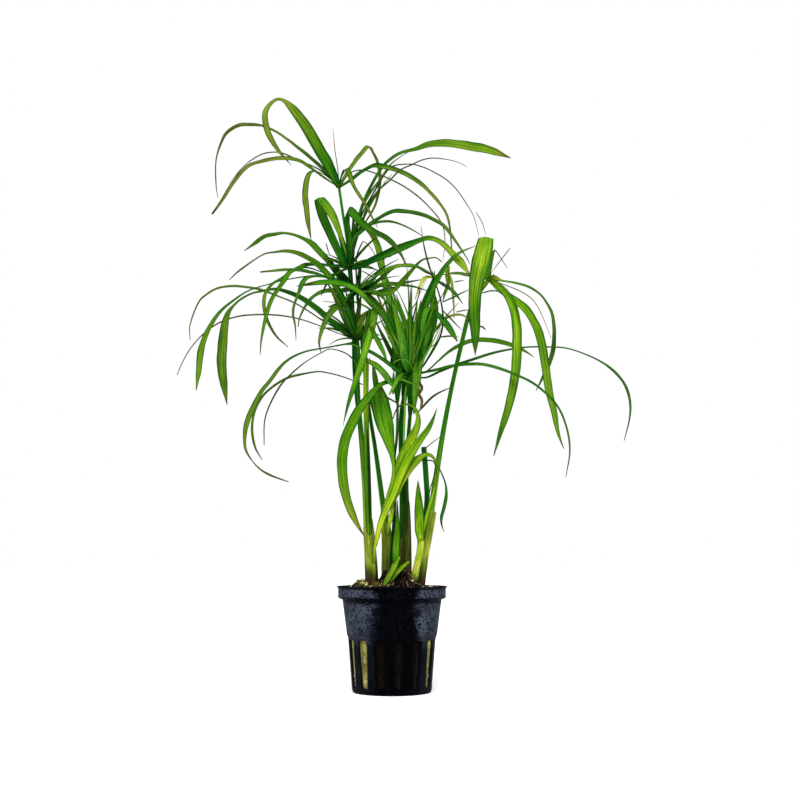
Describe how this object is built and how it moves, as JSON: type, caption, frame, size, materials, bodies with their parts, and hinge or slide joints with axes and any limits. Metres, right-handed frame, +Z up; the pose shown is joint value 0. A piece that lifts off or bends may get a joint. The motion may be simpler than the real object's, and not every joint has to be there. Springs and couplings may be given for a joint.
{
  "type": "potted umbrella sedge",
  "caption": "Clump of umbrella sedge with arching strap leaves on upright stems, rooted in rock wool in a slotted black net pot that stands on its flat base.",
  "frame": {"origin": "middle of the pot's flat underside, on the surface that the pot stands on", "axes": "+Z up along the pot's axis; -Y towards the viewer of the picture, +X to that viewer's right"},
  "size_m": [0.2447, 0.1532, 0.3106],
  "materials": {
    "pot_plastic": "satin",
    "rock_wool": "matte",
    "stem": "satin",
    "young_shoot": "satin",
    "leaf": "satin"
  },
  "bodies": {
    "root": {"net_pot": "pot_plastic", "rock_wool_plug": "rock_wool", "top_crown_stem": "stem", "upper_crown_stem": "stem", "middle_crown_stem": "stem", "left_crown_stem": "stem", "front_crown_stem": "stem", "fan_crown_stem": "stem", "inner_crown_stem": "stem", "right_crown_stem": "stem", "cut_stem": "stem", "leaning_shoot": "young_shoot", "short_shoot": "young_shoot", "top_crown_leaf_1": "leaf", "top_crown_leaf_2": "leaf", "top_crown_leaf_3": "leaf", "top_crown_leaf_4": "leaf", "top_crown_leaf_5": "leaf", "top_crown_leaf_6": "leaf", "top_crown_leaf_7": "leaf", "upper_crown_leaf_1": "leaf", "upper_crown_leaf_2": "leaf", "upper_crown_leaf_3": "leaf", "upper_crown_leaf_4": "leaf", "upper_crown_leaf_5": "leaf", "upper_crown_leaf_6": "leaf", "upper_crown_leaf_7": "leaf", "upper_crown_leaf_8": "leaf", "middle_crown_leaf_1": "leaf", "middle_crown_leaf_2": "leaf", "middle_crown_leaf_3": "leaf", "middle_crown_leaf_4": "leaf", "left_crown_leaf_1": "leaf", "left_crown_leaf_2": "leaf", "left_crown_leaf_3": "leaf", "left_crown_leaf_4": "leaf", "left_crown_leaf_5": "leaf", "left_crown_leaf_6": "leaf", "left_crown_leaf_7": "leaf", "front_crown_leaf_1": "leaf", "fan_crown_leaf_1": "leaf", "fan_crown_leaf_2": "leaf", "fan_crown_leaf_3": "leaf", "fan_crown_leaf_4": "leaf", "fan_crown_leaf_5": "leaf", "fan_crown_leaf_6": "leaf", "fan_crown_leaf_7": "leaf", "fan_crown_leaf_8": "leaf", "fan_crown_leaf_9": "leaf", "inner_crown_leaf_1": "leaf", "right_crown_leaf_1": "leaf", "right_crown_leaf_2": "leaf", "right_crown_leaf_3": "leaf", "right_crown_leaf_4": "leaf", "right_crown_leaf_5": "leaf", "leaning_shoot_leaf_1": "young_shoot", "leaning_shoot_leaf_2": "young_shoot", "leaning_shoot_leaf_3": "young_shoot", "leaning_shoot_leaf_4": "young_shoot", "short_shoot_leaf_1": "young_shoot"}
  },
  "joints": []
}
